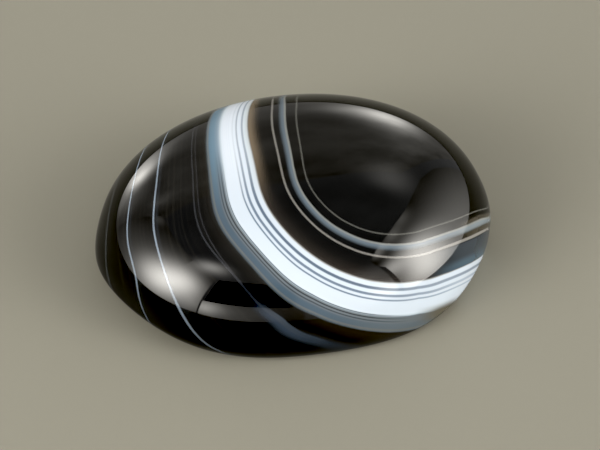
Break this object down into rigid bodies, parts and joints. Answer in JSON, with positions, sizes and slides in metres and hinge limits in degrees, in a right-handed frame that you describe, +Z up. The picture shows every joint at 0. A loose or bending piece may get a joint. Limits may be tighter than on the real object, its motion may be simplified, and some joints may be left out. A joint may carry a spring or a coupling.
{
  "type": "banded agate cabochon",
  "caption": "Oval polished cabochon of black sulemani agate with white, blue-grey and brown bands, domed above and flat on the back.",
  "frame": {"origin": "in the plane of the flat back, under the middle of the stone's box", "axes": "+X along the long axis of the oval, +Y along its short axis, +Z up out of the flat back towards the top of the crown"},
  "size_m": [0.0302, 0.0228, 0.0094],
  "materials": {
    "banded_agate": "polished"
  },
  "bodies": {
    "root": {"agate_stone": "banded_agate"}
  },
  "joints": []
}
